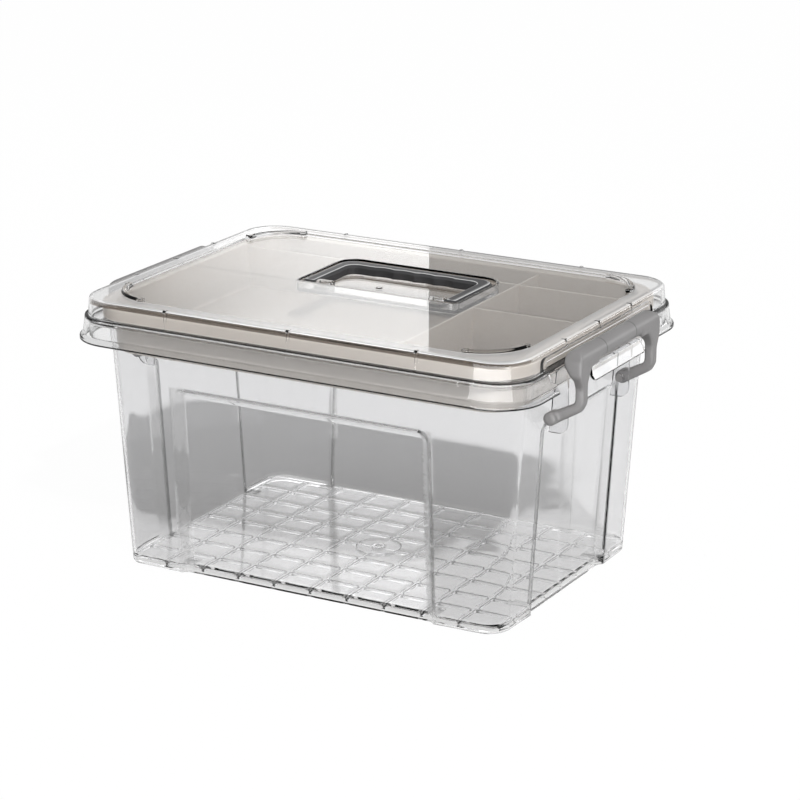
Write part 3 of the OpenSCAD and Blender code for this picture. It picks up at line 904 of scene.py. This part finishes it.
def handle_ears():
    """The two ears that carry the handle's pins"""
    front, back, low = HINGE_Y - 5.8, HINGE_Y + 5.8, PAN_FLOOR - 1
    outline = fillet([(front, low), (back, low), (back, PLATE_Z), (front, PLATE_Z)], [0, 0, 4.0, 4.0],
                     steps=6)
    ears = prism("ears", outline, "YZ", 45.0, 57.5)
    ease(ears, 0.4 * MM, 2, lambda p: p.z > PAN_FLOOR + 1)
    mirrored(ears, "X")
    cut(ears, rod("bore", (0, HINGE_Y, HINGE_Z), HANDLE_PIN_R + PIN_PLAY, 130, "X"))
    return ears


def band_ticks(sizes):
    """Small moulded ticks over the lid's band and under its shoulder"""
    half = sizes.tick / MM / 2
    top = LID_RIM_Z + 0.5
    over_top = [(24.0, 219.5), (24.0, top), (27.6, top), (28.9, top - 1.6)]
    over_band = over_top + [(30.2, SHOULDER_Z - 0.3), (27.8, SHOULDER_Z - 0.3)]
    over_rim = over_top + [(29.2, top - 6.5), (27.0, top - 6.5)]
    under_shoulder = [(30.4, SHOULDER_Z - 6), (30.4, SHOULDER_Z - 1), (32.9, SHOULDER_Z - 0.6),
                      (33.2, SHOULDER_Z - 6)]
    spots = [(over_band, 1, spot) for spot in (-110.0, 0.0, 110.0)]
    spots += [(over_rim, 0, spot) for spot in (-57.0, 0.0, 57.0)]
    spots += [(under_shoulder, 1, spot) for spot in (-147.0, 0.0, 147.0)]
    ticks = []
    for outline, across, spot in spots:
        places = [(LID_CORE[across] + reach, height) for reach, height in outline]
        tick = prism("tick", places, "YZ" if across else "XZ", spot - half, spot + half)
        ease(tick, 0.4 * MM, 2)
        ticks.append(mirrored(tick, "Y" if across else "X"))
    join(*ticks)
    return ticks[0]


def past_plate(tree, gap):
    """1 further than a gap in millimetres outside the sunk plate, and 0 over it"""
    return tree.rise(tree.reach(PLATE_CORE), PLATE_R + gap - 0.2, PLATE_R + gap + 0.2)


def lid_painted_shade(tree, base):
    """Painted shade: dark lines along the skirt, shoulder, plate and back edge, a faint shade on the pan's
    front wall, and a brown strip on the band that stands for the tray's rim in shade seen through it
    """
    height, side, up = tree.at(2), tree.at(1), tree.normal(2).size()
    past = past_plate(tree, 2.0)
    across = tree.rise(side.size(), LID_CORE[1] + 18, LID_CORE[1] + 24)
    # Painted shade: a brown strip on the band for the tray's shaded rim seen through it, strongest at its
    # foot
    strip = tree.band(height, 216.4, 221.1) * past * across * tree.smooth(up, *FLAT, 1.0, 0.0)
    strip = strip * tree.rise(height, 216.5, 221.0, 0.8, 0.45)
    base = tree.mix(strip, base, (0.13, 0.09, 0.06, 1.0))
    right = tree.rise(tree.at(0), PLATE_X - 3, PLATE_X - 2)
    # Painted shade: black lines at the skirt's foot and faintly above it, at the plate's edge, the pan's
    # floor, the shoulder and the back edge, and a faint shade on the pan's front wall
    dark = tree.band(height, SKIRT_Z - 1, SKIRT_Z + 0.9)
    dark = dark + tree.band(height, SKIRT_Z + 0.9, SKIRT_Z + 5.0) * 0.2
    dark = dark + tree.band(height, PLATE_Z + 0.15, LID_RIM_Z + 0.1) * (1.0 - past) * (right * 0.8 + 0.2)
    dark = dark + tree.band(height, PAN_FLOOR + 0.1, PAN_FLOOR + 0.7) * (1.0 - past)
    dark = dark * tree.smooth(up, 0.9, 0.98, 1.0, 0.0)
    dark = dark + tree.band(height, SHOULDER_Z - 0.7, SHOULDER_Z + 0.2)
    edge = tree.band(tree.reach(LID_CORE), 23.6, 27.0) * tree.band(height, LID_RIM_Z - 1, LID_RIM_Z + 1)
    dark = dark + edge * tree.rise(side, -50, 0) * 0.7
    wall = tree.band(side, PAN_FRONT - 3.5, PAN_FRONT + 1.5) * tree.band(height, PAN_FLOOR - 3, PLATE_Z)
    dark = dark + wall * 0.12
    return tree.mix(dark.clipped(), base, BLACK)


def lid_ledge_white_and_highlight(tree):
    """The flat ledge round the plate is a little white, and more so where it rounds off, where the white is
    a painted highlight
    """
    up = tree.normal(2)
    ledge = tree.rise(tree.at(2), LID_RIM_Z - 1.6, LID_RIM_Z - 1.3)
    # Painted highlight: more white on the ledge's rounding than on its flat
    white = tree.smooth(up, 0.6, 0.7) - tree.smooth(up, *FLAT) * 0.45
    return ledge * past_plate(tree, 2.0) * white * 0.5


class BOX_OT_lid(Operator):
    """Model the clear lid with its skirt, sunk plate, ridges, handle pan and latch pockets"""
    bl_idname = "medicine_box.lid"
    bl_label = "Lid"

    def execute(self, context):
        sizes, finishes = settings_of(context)
        lid, space = lid_solids()
        high = PLATE_Z + 8
        plate_back = plate_block("plate_back", LID_T, [(0, PLATE_Z - LID_T), (0, high)])
        pan_back = pan_block("pan_back", LID_T, PAN_FLOOR - LID_T, high, 0)
        backing = pocket_block("backing", LID_T, POCKET_X - LID_T, 12)
        cut(space, plate_back, pan_back, mirrored(backing, "X"))
        sink = [(-0.8, PLATE_Z), (-0.2, PLATE_Z + 0.25), (0, PLATE_Z + 0.6), (0.2, LID_RIM_Z - 0.12),
                (0.6, LID_RIM_Z + 0.01), (0.8, LID_RIM_Z + 4)]
        cut(lid, plate_block("sink", 0, sink), pan_block("pan", 0, PAN_FLOOR, PLATE_Z, 0.9),
            mirrored(pocket_block("pocket", 0, POCKET_X, 20), "X"), space,
            mirrored(skirt_opening(), "X"))
        gate = rod("gate", (*PAN_GATE, PAN_FLOOR - 0.6), 2.8, 2.6, "Z", 32)
        join(lid, stacking_ridges(), handle_ears(), band_ticks(sizes), gate)
        finish = clear_plastic("lid_plastic", finishes.lid, finishes.edge, (0.8, 0.98), 0.94, lid_painted_shade,
                               whitening=lid_ledge_white_and_highlight)
        settle(lid, "lid_moulding", "lid", "lid_plastic", finish, "lid")
        return {"FINISHED"}


# The tray

def tray_r(z):
    """Outer corner radius of the tray at a height"""
    return wall_r(z) - WALL_T - 2.5


def tray_painted_shade_and_light(tree, base):
    """Painted shade deepening towards the floor of the tray, and painted light on its outside, most below
    the lip
    """
    height = tree.at(2)
    # Painted shade: darker towards the floor, as the compartments fall into shade
    depth = tree.rise(height, TRAY_FLOOR, TRAY_TOP - 6, 0.46, 0.0)
    # Painted light: lighter on the outside, which is seen through the clear walls, most below the lip
    outside = 0.0
    for axis in (0, 1):
        reach = tree.at(axis)
        beyond = tree.rise(reach.size(), TUB_CORE[axis] + 15, TUB_CORE[axis] + 20)
        outside = outside + beyond * tree.smooth(reach * tree.normal(axis), 0.0, 0.05)
    base = tree.mix(depth, base, (0.1, 0.085, 0.07, 1.0))
    lip = tree.rise(height, 204, 207, 0.8, 0.4)
    return tree.mix(outside.clipped() * lip, base, (0.85, 0.8, 0.75, 1.0))


class BOX_OT_tray(Operator):
    """Model the inner tray with its rolled rim and dividers"""
    bl_idname = "medicine_box.tray"
    bl_label = "Inner tray"

    def execute(self, context):
        sizes, finishes = settings_of(context)
        rim_low = RIM_Z + 0.3
        lip = wall_r(RIM_Z) + 4.7
        low, top = TRAY_FLOOR, TRAY_TOP
        line = fillet(
            [(tray_r(low), low), (tray_r(rim_low), rim_low), (lip - 2.2, rim_low), (lip - 2.2, top - 9.6),
             (lip, top - 9.6), (lip, top), (tray_r(top) - TRAY_T, top), (tray_r(low) - TRAY_T, low + TRAY_T),
             (tray_r(low) - 9, low + TRAY_T), (tray_r(low) - 9, low)],
            [3.0, 0.5, 0.4, 0.5, 0.5, 1.3, 1.0, 2.5, 0, 0], steps=5)
        tray = swept("tray", TUB_CORE, line)
        join(tray, swept("base", TUB_CORE, [(tray_r(low) - 8, low), (tray_r(low) - 8, low + TRAY_T)],
                         closed=False))
        divider_top, divider_low, half = top - 2.0, low + 0.9, TRAY_T / 2
        far_x, far_y = (core + tray_r(low) - 0.5 for core in TUB_CORE)
        lean = (divider_top - low) * WALL_SLOPE
        walls = (
            ((DIVIDER_X - half, -far_y), (DIVIDER_X + half, far_y), 1),
            ((-far_x, BACK_DIVIDER_Y - half), (far_x, BACK_DIVIDER_Y + half), 0),
            ((DIVIDER_X, MIDDLE_DIVIDER_Y - half), (far_x, MIDDLE_DIVIDER_Y + half), 0))
        for first, second, axis in walls:
            wall = cuboid("divider", (*first, divider_low), (*second, divider_top))
            with editing(wall):
                for end in (first[axis], second[axis]):
                    if abs(end) < DIVIDER_X + 1:
                        continue
                    pick(wall, "VERT", lambda p: abs(p[axis] - end) < 0.1 and p.z > divider_top - 1)
                    shift = [0, 0, 0]
                    shift[axis] = math.copysign(lean, end) * MM
                    bpy.ops.transform.translate(value=shift)
                pick_sharp(wall, 60, lambda p: p.z > divider_top - 0.5 and abs(p[axis] - first[axis]) > 1
                           and abs(p[axis] - second[axis]) > 1)
                bevel(sizes.divider_round, 3)
            join(tray, wall)
        finish = moulded_plastic("tray_plastic", finishes.tray, 0.42, 900.0, 0.15, 0.05, tray_painted_shade_and_light)
        settle(tray, "tray_moulding", "tray", "tray_plastic", finish, "inner_tray")
        return {"FINISHED"}


# The handle

def handle_outline():
    """Plan of the folded handle: two arms and a bar with finger scallops"""
    half, far, inner, bar, inner_r = HANDLE_HALF, HANDLE_FAR, 58.0, 57.0, 7.0
    front = HINGE_Y - 4.0
    land, depth = 2.0, 1.6
    points = [(half, front), (half, far), (-half, far), (-half, front), (-inner, front), (-inner, bar)]
    radii = [0, HANDLE_R, HANDLE_R, 0, 0, inner_r]
    reach = (SCALLOP_PITCH - land) / 2
    curve = (reach ** 2 + depth ** 2) / (2 * depth)
    for finger in range(4):
        middle = (finger - 1.5) * SCALLOP_PITCH
        for step in range(9):
            across = reach * (step / 4 - 1)
            sink = math.sqrt(curve ** 2 - across ** 2) - (curve - depth)
            points.append((middle + across, bar + sink))
            radii.append(0)
    points += [(inner, bar), (inner, front)]
    radii += [inner_r, 0]
    return fillet(points, radii, steps=6)


def handle_painted_highlights(tree, base):
    """Painted highlights: bright lines where the bevel meets the top, and one along the outside of the top
    """
    up = tree.normal(2)
    # Painted highlight lines on the top's roundings and along its outer edge
    line = tree.smooth(up, 0.72, 0.78) * tree.smooth(up, *FLAT, 1.0, 0.0)
    line = line * tree.rise(tree.at(2), HINGE_Z + 3.0, HINGE_Z + 3.3)
    reach = tree.reach((HANDLE_HALF - HANDLE_R, HANDLE_FAR - HANDLE_R))
    outer = tree.band(reach, 10.2, 10.8, 0.3) * tree.smooth(up, *FLAT)
    return tree.mix((line * 0.8 + outer * 0.5).clipped(), base, (0.75, 0.75, 0.75, 1.0))


class BOX_OT_handle(Operator):
    """Model the carry handle with its bevelled edges, finger scallops and pins"""
    bl_idname = "medicine_box.handle"
    bl_label = "Carry handle"

    def execute(self, context):
        sizes, finishes = settings_of(context)
        low, high = HINGE_Z - 4.0, HINGE_Z + 4.0
        handle = prism("handle", handle_outline(), "XY", low, high)
        ease(handle, sizes.handle_bevel, 1, lambda p: p.z > high - 0.01)
        ease(handle, 0.5 * MM, 3, lambda p: p.z > high - 0.01, angle=30)
        ease(handle, 1.0 * MM, 3, lambda p: p.z < low + 0.01)
        for side in (-1, 1):
            pin = rod("pin", (side * 52.5, HINGE_Y, HINGE_Z), HANDLE_PIN_R, PIN_LENGTH, "X")
            ease(pin, 0.5 * MM, 2)
            join(handle, pin)
        finish = moulded_plastic("handle_plastic", finishes.handle, 0.35, 600.0, 0.03, 0.15, handle_painted_highlights,
                                 0.06, True)
        settle(handle, "handle_moulding", "handle", "handle_plastic", finish, "carry_handle")
        return {"FINISHED"}


# The latches

def latch_body(sizes):
    """The right latch as one rounded moulding, like a bent tube: knuckles, arms and bar"""
    hub, hub_y, end_y = 5.4, 56.5, 70.0
    bar_out, bar_in = BAR_X + BAR_R, BAR_X - BAR_R
    side = fillet(
        [(PIN_X - 4.6, PIN_Z + 2.2), (PIN_X + 2.2, PIN_Z - 4.8), (208.4, 168.6), (bar_out, 175.0),
         (bar_out, BAR_Z + BAR_R), (bar_in, BAR_Z + BAR_R), (bar_in, 203.5), (203.9, 193.0), (203.9, 177.6),
         (203.0, 174.6)],
        [3.2, 3.2, 5.0, 8.0, BAR_R - 0.1, BAR_R - 0.1, 4.0, 5.0, 3.0, 3.0], steps=8)
    arm = prism("arm", side, "XZ", 38.0, end_y)
    front = fillet(
        [(65.5, PIN_Z - 8), (65.5, 187.0), (end_y, 197.0), (end_y, BAR_Z + BAR_R), (38.0, BAR_Z + BAR_R),
         (38.0, BAR_Z - BAR_R), (51.0, BAR_Z - BAR_R), (57.3, 190.0), (57.3, PIN_Z - 8)],
        [0, 5.0, 6.0, 11.0, 0, 0, 8.0, 6.0, 0], steps=8)
    combine(arm, prism("trim", front, "YZ", PIN_X - 8, 214), "INTERSECT")
    ease_all(arm, 1.8, 3)
    knuckle = rod("knuckle", (PIN_X, (hub_y + end_y) / 2, PIN_Z), hub, end_y - hub_y, "Y")
    ease(knuckle, 0.8 * MM, 3)
    join(arm, knuckle)
    mirrored(arm, "Y")
    join(arm, rod("bar", (BAR_X, 0, BAR_Z), BAR_R, 120, "Y", 64))
    apply_modifier(arm, "REMESH", mode="VOXEL", voxel_size=sizes.latch_voxel)
    apply_modifier(arm, "SMOOTH", factor=0.5, iterations=sizes.latch_smooth)
    for side in (-1, 1):
        join(arm, rod("pin", (PIN_X, side * 58.5, PIN_Z), LATCH_PIN_R, PIN_LENGTH, "Y"))
    return arm


def latch_tone(tree, base):
    """Thin dark parting lines round the bar"""
    on_bar = tree.rise(tree.at(2), 199, 201)
    lines = tree.rise((tree.at(1).size() - 26 * MM).size(), 0.4, 0.7, 1.0, 0.0)
    return tree.mix(lines * on_bar * 0.6, base, (0.02, 0.02, 0.02, 1.0))


class BOX_OT_latches(Operator):
    """Model the right latch and its mirrored copy on the left"""
    bl_idname = "medicine_box.latches"
    bl_label = "Latches"

    def execute(self, context):
        sizes, finishes = settings_of(context)
        finish = moulded_plastic("latch_plastic", finishes.latch, 0.42, 900.0, 0.1, 0.08, latch_tone, 0.3)
        right = latch_body(sizes)
        left = copy_of(right, "left_latch_moulding")
        with editing(left):
            bpy.ops.transform.mirror(orient_type="GLOBAL", constraint_axis=(True, False, False),
                                     center_override=(0, 0, 0))
            outward()
        for obj, side in ((right, "right"), (left, "left")):
            settle(obj, f"{side}_latch_moulding", f"{side}_latch", "latch_plastic", finish,
                   f"{side}_latch", angle=60)
        return {"FINISHED"}


# The studio

def lamp(name, place, target, size, power):
    """A rectangular lamp that the camera doesn't see"""
    data = bpy.data.lights.new(name, "AREA")
    data.shape = "RECTANGLE"
    data.size, data.size_y = size
    data.energy = power
    obj = bpy.data.objects.new(name, data)
    bpy.context.scene.collection.objects.link(obj)
    aim = (Vector(place) - Vector(target)).to_track_quat("Z", "Y")
    obj.matrix_world = Matrix.Translation(place) @ aim.to_matrix().to_4x4()
    obj.visible_camera = False
    return obj


def studio_camera(scene):
    """The camera where the photograph was taken from"""
    turn, tilt, roll = math.radians(29.18), math.radians(17.35), math.radians(0.06)
    back = Vector((math.sin(turn) * math.cos(tilt), -math.cos(turn) * math.cos(tilt), math.sin(tilt)))
    right = Vector((math.cos(turn), math.sin(turn), 0))
    right = right * math.cos(roll) + back.cross(right) * math.sin(roll)
    up = back.cross(right)
    aside, above, away, ground = 0.01694, 0.12098, 2.4006, 0.0024
    place = right * aside + up * above + back * away + Vector((0, 0, ground))
    data = bpy.data.cameras.new("camera")
    data.sensor_width = 36
    data.lens = 133.48
    data.clip_end = 100
    camera = bpy.data.objects.new("camera", data)
    scene.collection.objects.link(camera)
    axes = Matrix((right, up, back)).transposed().to_4x4()
    camera.matrix_world = Matrix.Translation(place) @ axes
    scene.camera = camera


class BOX_OT_studio(Operator):
    """Set up the floor, the room, the lamps and the camera"""
    bl_idname = "medicine_box.studio"
    bl_label = "Studio"

    def execute(self, context):
        scene = context.scene
        studio = scene.box_studio
        finishes = scene.box_finishes
        scene.view_settings.view_transform = "Standard"
        studio_camera(scene)

        fresh()
        bpy.ops.mesh.primitive_plane_add(size=60, location=(0, 0, -0.0003))
        floor = context.object
        floor.name = "floor"
        material, tree = new_material("floor")
        camera_ray = tree.ray("Is Camera Ray")
        seen = (camera_ray + tree.ray("Is Transmission Ray")).clipped()
        tint = tree.mix(seen, rgba(finishes.floor), WHITE)
        shade = tree.add("ShaderNodeBsdfDiffuse", {"Color": tint})
        glow = tree.add("ShaderNodeEmission", {"Color": WHITE, "Strength": 1.0})
        share = seen * studio.glow_through + camera_ray * (studio.glow - studio.glow_through)
        mixed = tree.blend(share.clipped(), shade, glow)
        tree.add("ShaderNodeOutputMaterial", {"Surface": mixed})
        floor.data.materials.append(material)

        world = bpy.data.worlds.new("studio")
        scene.world = world
        tree = Tree(world)
        seen = (tree.ray("Is Camera Ray") + tree.ray("Is Transmission Ray")).clipped()
        room = tree.add("ShaderNodeBackground", {"Color": WHITE, "Strength": studio.room})
        white = tree.add("ShaderNodeBackground", {"Color": WHITE, "Strength": 1.0})
        mixed = tree.blend(seen, room, white)
        tree.add("ShaderNodeOutputWorld", {"Surface": mixed})

        key = lamp("key", (3.0, -2.5, 4.0), (0, 0, 0.1), (0.16, 0.16), studio.key)
        key.visible_transmission = False
        for name, place, target, size, strength in (
                ("corner", (0.39, -0.45, 0.135), (0.39, 0.0, 0.135), (0.77, 0.13), studio.corner),
                ("low_corner", (0.475, -0.45, 0.035), (0.475, 0.0, 0.035), (0.25, 0.07),
                 studio.corner * 0.4),
                ("grip", (1.2, 1.67, 0.5), (0.2, 0.0, 0.19), (0.5, 0.5), studio.grip)):
            panel = lamp(name, place, target, size, strength * math.pi * size[0] * size[1])
            panel.visible_diffuse = False
            panel.visible_transmission = False
        wide, tall, edge_x = 0.6, 1.0, -0.773
        softbox = lamp("glare", (edge_x - wide / 2, 1.5, 0.85), (edge_x - wide / 2, 0.0, 0.85), (wide, tall),
                       studio.glare * math.pi * wide * tall)
        tree = Tree(softbox.data)
        across = tree.axis(tree.add("ShaderNodeNewGeometry", out="Position"), 0)
        left = tree.add("ShaderNodeMapRange", {
            "Value": across, "From Min": edge_x - 0.5, "From Max": edge_x, "To Min": 1.0, "To Max": 0.0})
        fade = 1.0 - left * left
        glow = tree.add("ShaderNodeEmission", {"Color": WHITE, "Strength": fade})
        tree.add("ShaderNodeOutputLight", {"Surface": glow})
        return {"FINISHED"}


class BOX_PT_pieces(Panel):
    """The pieces of the medicine box and its studio"""
    bl_idname = "BOX_PT_pieces"
    bl_label = "Medicine box"
    bl_space_type = "VIEW_3D"
    bl_region_type = "UI"
    bl_category = "Medicine box"

    def draw(self, context):
        layout = self.layout
        for group in ("box_sizes", "box_finishes", "box_studio"):
            settings = getattr(context.scene, group)
            column = layout.column(align=True)
            for name in settings.__annotations__:
                column.prop(settings, name)
        for operator in OPERATORS:
            layout.operator(operator.bl_idname)


OPERATORS = (BOX_OT_studio, BOX_OT_tub, BOX_OT_tray, BOX_OT_lid, BOX_OT_handle, BOX_OT_latches)
CLASSES = (BoxSizes, BoxFinishes, BoxStudio, *OPERATORS, BOX_PT_pieces)


def register():
    for item in CLASSES:
        bpy.utils.register_class(item)
    bpy.types.Scene.box_sizes = PointerProperty(type=BoxSizes)
    bpy.types.Scene.box_finishes = PointerProperty(type=BoxFinishes)
    bpy.types.Scene.box_studio = PointerProperty(type=BoxStudio)


def unregister():
    del bpy.types.Scene.box_studio
    del bpy.types.Scene.box_finishes
    del bpy.types.Scene.box_sizes
    for item in reversed(CLASSES):
        bpy.utils.unregister_class(item)


def main():
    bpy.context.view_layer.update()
    register()
    bpy.ops.medicine_box.studio()
    bpy.ops.medicine_box.tub()
    bpy.ops.medicine_box.tray()
    bpy.ops.medicine_box.lid()
    bpy.ops.medicine_box.handle()
    bpy.ops.medicine_box.latches()


if __name__ == "__main__":
    main()
